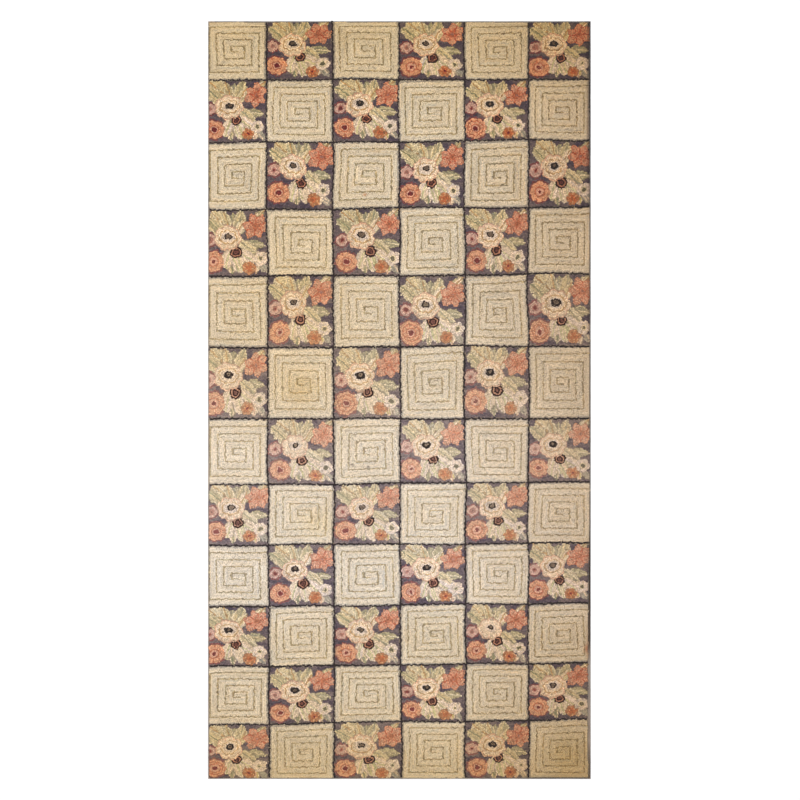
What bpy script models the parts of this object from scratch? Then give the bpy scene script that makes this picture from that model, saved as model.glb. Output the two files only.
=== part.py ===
"""A hooked wool rug of about 6 by 12 feet, lying flat and face up.

It is one hooked cloth, foundation and looped pile together, with four lengths
of cotton tape sewn under its edges. Units are metres, +Z is up, X is the
rug's width and Y its length. The floor is z = 0, under the rug's middle.
"""

import math
from collections import namedtuple

import bpy
from mathutils import Vector

MM = 0.001

# Driving sizes
RUG_WIDTH = 1.830
RUG_LENGTH = 3.624
PILE_TOP = 8.0 * MM  # foundation and loops, from the floor
TAPE_THICK = 1.2 * MM
TAPE_WIDTH = 30.0 * MM
GAP = 0.3 * MM  # between pieces that touch

# The hooked cloth's rolled edge and corners
EDGE_ROLL = 2.0 * MM
EDGE_ROLL_STEPS = 2
CORNER_RADIUS = 10.0 * MM
CORNER_STEPS = 4
EDGE_STEP = 75.0 * MM  # spacing of outline points along a side

# The tape's free edge wanders in and out: two waves for each side
WAVE_DEPTH = 1.3 * MM
FINE_WAVE_DEPTH = 0.5 * MM
FINE_WAVE_RATIO = 3

CLOTH_BOTTOM = TAPE_THICK + GAP
WELD = 0.01 * MM

COLLECTION = "hooked_rug"

# Sides in counter-clockwise order. start is the corner, in half widths and
# half lengths, along and inward are directions, waves counts the slow waves.
Side = namedtuple("Side", "name start along inward waves")
SIDES = (
    Side("right", (1, -1), (0, 1), (-1, 0), 5),
    Side("top", (1, 1), (-1, 0), (0, -1), 3),
    Side("left", (-1, 1), (0, -1), (1, 0), 6),
    Side("bottom", (-1, -1), (1, 0), (0, 1), 2),
)

# How much tape shows beyond the hooking: share of the side's length, from its
# start, and the width that shows there.
Reveal = namedtuple("Reveal", "share width")
REVEALS = {
    "right": (
        Reveal(0.00, 8.0 * MM),
        Reveal(0.03, 11.0 * MM),
        Reveal(0.20, 12.0 * MM),
        Reveal(0.26, 8.0 * MM),
        Reveal(0.34, 3.0 * MM),
        Reveal(0.80, 3.0 * MM),
        Reveal(0.90, 6.0 * MM),
        Reveal(1.00, 4.0 * MM),
    ),
    "top": (Reveal(0.0, 3.0 * MM), Reveal(1.0, 2.5 * MM)),
    "left": (Reveal(0.0, 2.5 * MM), Reveal(1.0, 2.5 * MM)),
    "bottom": (
        Reveal(0.0, 2.5 * MM),
        Reveal(0.80, 2.5 * MM),
        Reveal(0.86, 5.0 * MM),
        Reveal(1.0, 5.0 * MM),
    ),
}


def side_length(side):
    """Length of the rug along this side."""
    return RUG_LENGTH if side.along[0] == 0 else RUG_WIDTH


def tape_inset(side, share):
    """How far the tape's free edge lies inside the straight side. It is 0 at both corners."""
    turn = 2 * math.pi * side.waves * share
    slow = WAVE_DEPTH * (1 - math.cos(turn)) / 2
    fine = FINE_WAVE_DEPTH * (1 - math.cos(FINE_WAVE_RATIO * turn)) / 2
    return slow + fine


def tape_shown(side, share):
    """Width of tape that shows at this share of the side, from the Reveal rows around it."""
    rows = REVEALS[side.name]
    for low, high in zip(rows, rows[1:]):
        if share <= high.share:
            mix = (share - low.share) / (high.share - low.share)
            return low.width + (high.width - low.width) * mix
    return rows[-1].width


def side_point(side, distance, inset):
    """The point at a distance along the side and an inset from it."""
    corner = Vector((side.start[0] * RUG_WIDTH / 2, side.start[1] * RUG_LENGTH / 2))
    return corner + Vector(side.along) * distance + Vector(side.inward) * inset


def steps_between(first, last):
    """Evenly spaced distances from first to last, about EDGE_STEP apart."""
    count = max(1, round((last - first) / EDGE_STEP))
    return [first + (last - first) * k / count for k in range(count + 1)]


def cloth_corner(side, following):
    """Arc that turns from the end of one side's hooking to the start of the next."""
    corner = side_point(side, side_length(side), 0)
    centre = (
        corner
        + Vector(side.inward) * (tape_shown(side, 1) + CORNER_RADIUS)
        + Vector(following.inward) * (tape_shown(following, 0) + CORNER_RADIUS)
    )
    points = []
    for k in range(1, CORNER_STEPS):
        angle = math.pi / 2 * k / CORNER_STEPS
        turned = Vector(side.inward) * math.cos(angle) + Vector(following.inward) * math.sin(angle)
        points.append(centre - turned * CORNER_RADIUS)
    return points


def cloth_outline():
    """Outline of the hooking: each side inside its tape, and round corners."""
    points = []
    for index, side in enumerate(SIDES):
        before = SIDES[index - 1]
        following = SIDES[(index + 1) % len(SIDES)]
        length = side_length(side)
        first = tape_shown(before, 1) + CORNER_RADIUS
        last = length - tape_shown(following, 0) - CORNER_RADIUS
        for distance in steps_between(first, last):
            share = distance / length
            inset = tape_inset(side, share) + tape_shown(side, share)
            points.append(side_point(side, distance, inset))
        points += cloth_corner(side, following)
    return points


def tape_outline(side):
    """Outline of one length of tape. The long sides run right through, and the ends lie between them."""
    length = side_length(side)
    margin = 0 if length == RUG_LENGTH else TAPE_WIDTH + GAP
    distances = steps_between(margin, length - margin)
    outer = [side_point(side, d, tape_inset(side, d / length)) for d in distances]
    inner = [side_point(side, d, TAPE_WIDTH) for d in (distances[-1], distances[0])]
    return outer + inner


def slab(name, outline, bottom, top, roll=0.0):
    """A flat mesh object with this outline, whose edge is rolled to a radius."""
    curve = bpy.data.curves.new(name + "_outline", "CURVE")
    curve.dimensions = "2D"
    curve.fill_mode = "BOTH"
    curve.resolution_u = 1
    curve.render_resolution_u = 0
    curve.extrude = (top - bottom) / 2 - roll
    curve.bevel_depth = roll
    curve.bevel_resolution = EDGE_ROLL_STEPS
    curve.offset = -roll
    spline = curve.splines.new("POLY")
    spline.points.add(len(outline) - 1)
    for point, place in zip(spline.points, outline):
        point.co = (place.x, place.y, 0, 1)
    spline.use_cyclic_u = True

    shape = bpy.data.objects.new(name + "_outline", curve)
    bpy.context.scene.collection.objects.link(shape)
    bpy.context.view_layer.update()
    mesh = bpy.data.meshes.new_from_object(shape.evaluated_get(bpy.context.evaluated_depsgraph_get()))
    bpy.data.objects.remove(shape)
    mesh.name = name

    slab_object = bpy.data.objects.new(name, mesh)
    slab_object.location.z = (bottom + top) / 2
    weld = slab_object.modifiers.new("weld_caps", "WELD")
    weld.merge_threshold = WELD
    return slab_object


def cloth_underside(height):
    """The part of the cloth inside the tapes, which sags to the floor, as a helper for the union."""
    bpy.ops.mesh.primitive_cube_add(size=1, location=(0, 0, height / 2))
    helper = bpy.context.object
    helper.name = "cloth_underside"
    inside = 2 * (TAPE_WIDTH + GAP)
    helper.scale = (RUG_WIDTH - inside, RUG_LENGTH - inside, height)
    helper.hide_render = True
    helper.display_type = "WIRE"
    return helper


def material(name, colour, roughness):
    """A cloth finish: linear RGB colour and roughness, not metallic."""
    finish = bpy.data.materials.new(name)
    finish.use_nodes = True
    shader = finish.node_tree.nodes["Principled BSDF"]
    shader.inputs["Base Color"].default_value = (*colour, 1)
    shader.inputs["Roughness"].default_value = roughness
    shader.inputs["Metallic"].default_value = 0
    finish.diffuse_color = (*colour, 1)
    return finish


def hooked_field(collection, finish):
    """The hooked cloth: a slab with a rolled edge over the tapes, joined to the part that reaches the floor."""
    field = slab("hooked_field", cloth_outline(), CLOTH_BOTTOM, PILE_TOP, EDGE_ROLL)
    collection.objects.link(field)
    join = field.modifiers.new("join_underside", "BOOLEAN")
    join.operation = "UNION"
    join.solver = "EXACT"
    join.object = cloth_underside(PILE_TOP / 2)
    field.data.materials.append(finish)
    return field


def binding_tape(collection, side, finish):
    """One length of tape under one side."""
    tape = slab("binding_" + side.name, tape_outline(side), 0, TAPE_THICK)
    collection.objects.link(tape)
    tape.data.materials.append(finish)
    return tape


def main():
    """Clears the scene and builds the rug."""
    for old in list(bpy.data.objects):
        bpy.data.objects.remove(old)
    collection = bpy.data.collections.new(COLLECTION)
    bpy.context.scene.collection.children.link(collection)

    wool = material("hooked_wool", (0.42, 0.34, 0.26), 0.95)
    cotton = material("cotton_tape", (0.33, 0.27, 0.20), 0.90)
    hooked_field(collection, wool)
    for side in SIDES:
        binding_tape(collection, side, cotton)


if __name__ == "__main__":
    main()
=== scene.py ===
"""Looks of the hooked rug: every loop of its wool pile, its foundation cloth and its binding tape.

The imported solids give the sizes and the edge. The pile is worked out row by
row, as a rug maker would pull it: straight rows over the ground, rows along
the leaves and rings inside the flowers, each cut back where a higher one lies.
"""
import logging
import math
from dataclasses import dataclass, fields, replace
from enum import Enum

import bpy
import numpy as np
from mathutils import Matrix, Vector


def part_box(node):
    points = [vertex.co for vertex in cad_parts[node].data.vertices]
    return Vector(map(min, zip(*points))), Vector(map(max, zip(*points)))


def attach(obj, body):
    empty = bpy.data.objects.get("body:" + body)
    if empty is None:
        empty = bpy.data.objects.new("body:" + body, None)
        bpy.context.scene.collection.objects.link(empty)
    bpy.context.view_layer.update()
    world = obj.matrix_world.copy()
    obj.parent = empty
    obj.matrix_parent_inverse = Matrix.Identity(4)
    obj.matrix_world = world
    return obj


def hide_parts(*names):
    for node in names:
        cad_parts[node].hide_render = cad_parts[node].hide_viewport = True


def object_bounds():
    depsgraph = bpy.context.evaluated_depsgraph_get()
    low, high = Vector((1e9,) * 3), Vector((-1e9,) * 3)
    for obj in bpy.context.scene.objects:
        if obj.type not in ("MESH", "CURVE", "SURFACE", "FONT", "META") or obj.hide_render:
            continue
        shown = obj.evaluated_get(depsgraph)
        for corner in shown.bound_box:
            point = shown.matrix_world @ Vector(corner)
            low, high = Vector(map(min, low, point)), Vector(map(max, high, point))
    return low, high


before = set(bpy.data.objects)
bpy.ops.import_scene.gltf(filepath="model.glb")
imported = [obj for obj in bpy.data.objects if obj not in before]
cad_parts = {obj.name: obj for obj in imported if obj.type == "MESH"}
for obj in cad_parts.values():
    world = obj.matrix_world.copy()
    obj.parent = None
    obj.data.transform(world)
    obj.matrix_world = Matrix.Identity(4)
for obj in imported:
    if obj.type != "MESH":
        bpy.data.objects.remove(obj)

CAD_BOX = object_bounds()
MM = 0.001
SEED = 1926
EDGE_SEED = SEED + 7
COLOUR_LAYER = "yarn_colour"  # each point's linear colour, read by the wool and the cotton
BAKE_MAP = "OFBake"

log = logging.getLogger("hooked_rug")


# ---------------------------------------------------------------- small tools


def srgb(hex_colour: str) -> np.ndarray:
    """The three sRGB values, 0 to 1, of a colour such as "#dcc8a0"."""
    return np.array([int(hex_colour[i : i + 2], 16) / 255 for i in (1, 3, 5)])


def linear(colour: np.ndarray) -> np.ndarray:
    """sRGB values turned to linear light by the standard curve."""
    colour = np.clip(colour, 0.0, 1.0)
    return np.where(colour <= 0.04045, colour / 12.92, ((colour + 0.055) / 1.055) ** 2.4)


def linear_rgba(hex_colour: str) -> tuple[float, float, float, float]:
    """A hex colour as the linear RGBA that a node socket takes."""
    return (*linear(srgb(hex_colour)).tolist(), 1.0)


def smooth(low: float, high: float, value: np.ndarray) -> np.ndarray:
    """Smoothstep: 0 at low, 1 at high, with level ends."""
    t = np.clip((value - low) / (high - low), 0.0, 1.0)
    return t * t * (3 - 2 * t)


def add_node(tree: bpy.types.NodeTree, kind: str, settings: dict | None = None, **links) -> bpy.types.Node:
    """Adds a node to a tree.

    Args:
        tree: The node tree.
        kind: The node's type, such as "ShaderNodeTexNoise".
        settings: Values by property name, or by input name or number.
        links: Output sockets by input name, with _ for a space, or by number as in_0.

    Returns:
        The new node.
    """
    node = tree.nodes.new(kind)
    for name, value in (settings or {}).items():
        if isinstance(name, str) and hasattr(node, name):
            setattr(node, name, value)
        else:
            node.inputs[name].default_value = value
    for name, source in links.items():
        socket = int(name[3:]) if name.startswith("in_") else name.replace("_", " ")
        tree.links.new(source, node.inputs[socket])
    return node


def new_piece(
    name: str,
    points: np.ndarray,
    faces: np.ndarray,
    colour: np.ndarray | None = None,
    smooth_shaded: bool = True,
) -> bpy.types.Object:
    """Makes a mesh object from whole arrays.

    Args:
        name: The piece's name.
        points: (n, 3) places in metres.
        faces: (m, k) indices, k corners to a face.
        colour: (n, 3) linear colour of each point, or None.
        smooth_shaded: Whether the shading runs smoothly over edges.

    Returns:
        The object, at the origin and linked to the scene.
    """
    mesh = bpy.data.meshes.new(name)
    corners = faces.shape[1]
    mesh.vertices.add(len(points))
    mesh.vertices.foreach_set("co", points.astype(np.float32).ravel())
    mesh.loops.add(faces.size)
    mesh.loops.foreach_set("vertex_index", faces.astype(np.int32).ravel())
    mesh.polygons.add(len(faces))
    mesh.polygons.foreach_set("loop_start", np.arange(0, faces.size, corners, dtype=np.int32))
    mesh.polygons.foreach_set("use_smooth", np.full(len(faces), smooth_shaded))
    if colour is not None:
        layer = mesh.color_attributes.new(COLOUR_LAYER, "FLOAT_COLOR", "POINT")
        rgba = np.ones((len(points), 4), np.float32)
        rgba[:, :3] = colour
        layer.data.foreach_set("color", rgba.ravel())
    mesh.update(calc_edges=True)
    mesh.validate()
    piece = bpy.data.objects.new(name, mesh)
    bpy.context.scene.collection.objects.link(piece)
    return piece


def lay_flat_map(piece: bpy.types.Object) -> None:
    """Gives a piece the UV map that spreads its plan view over the unit square.

    Args:
        piece: The piece to map.
    """
    mesh = piece.data
    points = np.empty(len(mesh.vertices) * 3, np.float32)
    mesh.vertices.foreach_get("co", points)
    plan = points.reshape(-1, 3)[:, :2]
    low, high = plan.min(0), plan.max(0)
    corner = np.empty(len(mesh.loops), np.int32)
    mesh.loops.foreach_get("vertex_index", corner)
    layer = mesh.uv_layers.new(name=BAKE_MAP)
    layer.data.foreach_set("uv", ((plan - low) / (high - low))[corner].ravel())


def grid_faces(rows: int, columns: int) -> np.ndarray:
    """Quads of a grid of rows by columns points, wound to face +Z when rows run along +Y."""
    first = (np.arange(rows - 1)[:, None] * columns + np.arange(columns - 1)[None, :]).ravel()
    return np.stack([first, first + 1, first + columns + 1, first + columns], axis=1)


def halved(quads: np.ndarray) -> np.ndarray:
    """Two triangles for each quad: all the first halves, then all the second ones."""
    return np.concatenate([quads[:, [0, 1, 2]], quads[:, [0, 2, 3]]])


# ---------------------------------------------------------------- yarns


class Yarn(Enum):
    """Wool strips by their dye, in a rug maker's own words."""

    CREAM = "#ded0bd"
    GREY_CREAM = "#a89f96"
    TAUPE = "#a09071"
    BLACK_BROWN = "#2c2325"
    SLATE = "#3c3247"
    SLATE_LIGHT = "#7a6a6a"
    PLUM = "#783f42"
    PETAL_CREAM = "#e9d1b9"
    PETAL_PEACH = "#d9ae96"
    PETAL_WHITE = "#e0cdc2"
    OCHRE_TAUPE = "#b49064"
    CHARCOAL = "#2c221e"
    GREY_BROWN = "#6b584b"
    CORAL = "#c8856b"
    CORAL_LIGHT = "#d09a82"
    RUST = "#a9523a"
    RUST_ORANGE = "#b4643e"
    MAROON = "#6b2426"
    DARK_BROWN = "#2f1914"
    DUSTY_PINK = "#c89f95"
    RUST_PINK = "#a06a55"
    ROSE_BROWN = "#5d2f29"
    DUSTY_ROSE = "#a36d63"
    SALMON = "#d5997a"
    SALMON_LIGHT = "#d39d88"
    SALMON_DEEP = "#b2674c"
    ORANGE = "#af724e"
    APRICOT = "#c8946d"
    SAGE = "#979179"
    SOFT_SAGE = "#b0a585"
    SAGE_DEEP = "#87876a"
    OLIVE_BEIGE = "#cebb95"
    PALE_OLIVE = "#d7c7aa"
    YELLOW_GREEN = "#c4b46c"
    GREY_GREEN = "#949185"
    BLOOM_CREAM = "#dfc9b2"
    BLOOM_GREEN = "#c2bd92"
    DARK_GREEN = "#605a47"

    def tone(self) -> np.ndarray:
        """The yarn's sRGB values."""
        return srgb(self.value)


# ---------------------------------------------------------------- rows of loops


@dataclass
class Loops:
    """Loops as whole arrays, in block units: u to the right and v down, 0 to 1 over a block.

    Each has a place and a heading along its row, both (n, 2), an sRGB tone, (n, 3), and a lift in metres and
    a size, both (n,).
    """

    place: np.ndarray
    heading: np.ndarray
    tone: np.ndarray
    lift: np.ndarray
    size: np.ndarray

    def kept(self, mask: np.ndarray) -> "Loops":
        """The loops where the mask is true."""
        return Loops(*(getattr(self, part.name)[mask] for part in fields(self)))

    @staticmethod
    def joined(parts: list["Loops"]) -> "Loops":
        """All the parts as one."""
        return Loops(*(np.concatenate([getattr(p, part.name) for p in parts]) for part in fields(Loops)))


ROWS_PER_TURN = 6
ROW = 1 / 54  # from one hooked row to the next, in block units
STITCH = ROW * 1.12  # from one loop to the next along a row
SEAM = 0.45 * ROW  # how near rows of two motifs come to their shared outline
STRIP = 13  # loops from one strip of cloth
STRIP_SHADE = 0.034
STRIP_WARMTH = 0.010
WARMER = np.array([1.0, 0.0, -1.6])  # how red, green and blue change in a warmer strip


def loops_of(
    place: np.ndarray, heading: np.ndarray, tone: np.ndarray, lift: float = 0.0, size: float = 1.0
) -> Loops:
    """Loops from places (n, 2), headings (n, 2), tones (n, 3) or one tone, one lift and one size."""
    count = len(place)
    return Loops(
        place,
        np.broadcast_to(heading, (count, 2)).astype(float),
        np.broadcast_to(tone, (count, 3)).astype(float),
        np.full(count, lift),
        np.full(count, size),
    )


def by_strip(tone: np.ndarray, rng: np.random.Generator) -> np.ndarray:
    """Changes the shade along a row at each new strip of cloth, every STRIP loops.

    Args:
        tone: (n, 3) sRGB tones along the row.
        rng: Source of the shades.

    Returns:
        (n, 3) sRGB tones.
    """
    strips = -(-len(tone) // STRIP) + 1
    start = int(rng.integers(STRIP))
    shade = np.repeat(rng.normal(0, STRIP_SHADE, strips), STRIP)[start : start + len(tone)]
    warmth = np.repeat(rng.normal(0, STRIP_WARMTH, strips), STRIP)[start : start + len(tone)]
    return tone * (1 + shade[:, None] + warmth[:, None] * WARMER)


class Petals(Enum):
    """How a flower's edge goes in and out."""

    ROUND = "round petals with sharp notches"
    STAR = "pointed petals with sharp notches"


STAR_SWAY = 2.4  # how much more a star's edge sways than a round flower's
SWAY_TWICE = 0.03  # share of the radius, in a wave that goes twice round
SWAY_THRICE = 0.02  # and in one that goes three times


@dataclass(frozen=True)
class Ring:
    """A band of one yarn in a flower, out to a share of its radius."""

    out_to: float
    yarn: Yarn


@dataclass(frozen=True)
class Flower:
    """A flower seen face on, hooked in rings that follow its edge.

    Its place and radius are in block units. A crease yarn may run between the petals, and an outline yarn
    over the ground just outside it.
    """

    u: float
    v: float
    radius: float
    petals: int
    notch: float
    rings: tuple[Ring, ...]
    shape: Petals = Petals.ROUND
    turn: float = 0.0
    crease: Yarn | None = None
    crease_from: float = 0.3
    crease_width: float = 0.24
    oval: float = 0.0
    eye: tuple[float, float] = (0.0, 0.0)
    lift: float = 0.0
    outline: Yarn | None = None
    loop_size: float = 1.0

    def edge(self, angle: np.ndarray) -> np.ndarray:
        """Radius at an angle: the full radius less the notch, by the cosine of half the petal angle.

        Args:
            angle: Angles round the middle, in radians.

        Returns:
            The radius at each.
        """
        half = self.petals * (angle - self.turn) / 2
        dip = 1 - np.abs(np.cos(half))
        if self.shape is Petals.STAR:
            dip = (dip + np.abs(np.sin(half))) / 2
        uneven = STAR_SWAY if self.shape is Petals.STAR else 1.0
        twice = SWAY_TWICE * np.cos(2 * angle + self.turn * 3)
        thrice = SWAY_THRICE * np.cos(3 * angle - self.turn * 5)
        return self.radius * (1 - self.notch * dip + uneven * (twice + thrice))

    def depth(self, place: np.ndarray) -> np.ndarray:
        """How far inside the edge a place is, along its radius; negative outside."""
        away = place - np.array([self.u, self.v])
        return self.edge(np.arctan2(away[:, 1], away[:, 0])) - np.hypot(away[:, 0], away[:, 1])

    def loops(self, rng: np.random.Generator) -> Loops:
        """Rings of loops from the edge to the middle, each ring one row further in.

        Args:
            rng: Source of each ring's start and of its shades.

        Returns:
            The flower's loops.
        """
        parts = []
        for ring in range(int(self.radius / ROW)):
            share = 1 - (ring + 0.5) * ROW / self.radius
            count = max(1, round(2 * math.pi * self.radius * share * (1 - self.notch / 2) / STITCH))
            angle = 2 * math.pi * (np.arange(count) + rng.random()) / count
            stretch = 1 + self.oval * np.cos(2 * (angle - self.turn)) * math.sin(math.pi * share)
            reach = self.edge(angle) * share * stretch
            middle = np.array([self.u, self.v]) + (1 - share) * np.array(self.eye)
            place = middle + reach[:, None] * np.stack([np.cos(angle), np.sin(angle)], axis=1)
            ahead = np.stack([-np.sin(angle), np.cos(angle)], axis=1)
            parts.append(loops_of(place, ahead, self.tones(angle, share, rng), self.lift, self.loop_size))
        return Loops.joined(parts)

    def tones(self, angle: np.ndarray, share: float, rng: np.random.Generator) -> np.ndarray:
        """Yarn tones round one ring: its band's yarn, and the crease yarn between petals.

        Args:
            angle: Angles of the ring's loops.
            share: The ring's share of the radius.
            rng: Source of the shades.

        Returns:
            (n, 3) sRGB tones.
        """
        yarn = next((ring.yarn for ring in self.rings if share <= ring.out_to), self.rings[-1].yarn)
        tone = np.tile(yarn.tone(), (len(angle), 1))
        if self.crease is not None and share > self.crease_from:
            between = np.abs(np.cos(self.petals * (angle - self.turn) / 2)) < self.crease_width
            tone[between] = self.crease.tone()
        return by_strip(tone, rng)


LEAF_TOOTH = 0.3  # depth of a leaf's teeth, as a share of its half width
LEAF_TRIM = 0.3 * ROW  # rows nearer the edge than this are left out
LEAF_RIM = 1.15 * ROW  # loops nearer the edge than this are in the edge yarn
STREAKS = 0.38  # share of a leaf's rows that are in its second yarn


@dataclass(frozen=True)
class Leaf:
    """A leaf or a side-on petal, hooked in rows along its midrib."""

    base: tuple[float, float]
    tip: tuple[float, float]
    half_width: float
    body: Yarn
    second: Yarn
    edge_yarn: Yarn
    rib: Yarn
    bend: float = 0.0
    fullness: float = 0.9
    bluntness: float = 0.8
    teeth: int = 0

    def frame(self) -> tuple[np.ndarray, np.ndarray, np.ndarray, float]:
        """Base, direction along, direction across and length."""
        base, tip = np.array(self.base), np.array(self.tip)
        length = float(np.hypot(*(tip - base)))
        along = (tip - base) / length
        return base, along, np.array([-along[1], along[0]]), length

    def reach(self, share: np.ndarray) -> np.ndarray:
        """Half width at a share of the length: a sine hump, with a saw edge where it has teeth.

        Args:
            share: Shares of the length from the base, 0 to 1.

        Returns:
            The half width at each.
        """
        share = np.clip(share, 0.0, 1.0)
        hump = np.clip(np.sin(math.pi * share**self.fullness), 0.0, 1.0) ** self.bluntness
        saw = 1 - LEAF_TOOTH * np.mod(share * self.teeth, 1.0) if self.teeth else 1.0
        return self.half_width * hump * saw

    def depth(self, place: np.ndarray) -> np.ndarray:
        """How far inside the edge a place is, across the leaf; negative outside.

        Args:
            place: (n, 2) places in block units.

        Returns:
            The depth of each.
        """
        base, along, across, length = self.frame()
        share = (place - base) @ along / length
        off = (place - base) @ across - self.bend * 4 * share * (1 - share)
        beyond = np.maximum(np.maximum(-share, share - 1), 0.0) * length
        return self.reach(share) - np.abs(off) - 2 * beyond

    def loops(self, rng: np.random.Generator) -> Loops:
        """Rows at even offsets from the midrib, cut off at the leaf's edge.

        Args:
            rng: Source of each row's start, yarn and shades.

        Returns:
            The leaf's loops.
        """
        base, along, across, length = self.frame()
        most = math.ceil(self.half_width / ROW)
        row = np.arange(-most, most + 1)
        station = (np.arange(int(length / STITCH) + 1) + 0.5) * STITCH / length
        share = (station[None, :] + rng.uniform(-0.5, 0.5, (len(row), 1)) * STITCH / length).ravel()
        number = np.repeat(row, len(station))
        off = number * ROW
        inside = (self.reach(share) - np.abs(off) > LEAF_TRIM) & (share > 0) & (share < 1)
        share, off, number = share[inside], off[inside], number[inside]
        bow = self.bend * 4 * share * (1 - share)
        place = base + share[:, None] * length * along + (off + bow)[:, None] * across
        slope = self.bend * 4 * (1 - 2 * share) / length
        ahead = along + slope[:, None] * across
        ahead /= np.hypot(ahead[:, 0], ahead[:, 1])[:, None]
        streaky = rng.random(2 * most + 1) < STREAKS
        tone = np.where(streaky[number + most][:, None], self.second.tone(), self.body.tone())
        on_rim = self.reach(share) - np.abs(off) < LEAF_RIM
        tone = np.where(on_rim[:, None], self.edge_yarn.tone(), tone)
        tone = np.where((number == 0)[:, None], self.rib.tone(), tone)
        return loops_of(place, ahead, by_strip(tone, rng))


Motif = Flower | Leaf


def rings(*bands: tuple[float, Yarn]) -> tuple[Ring, ...]:
    """Ring rows from pairs of a share of the radius and a yarn."""
    return tuple(Ring(out_to, yarn) for out_to, yarn in bands)


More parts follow.
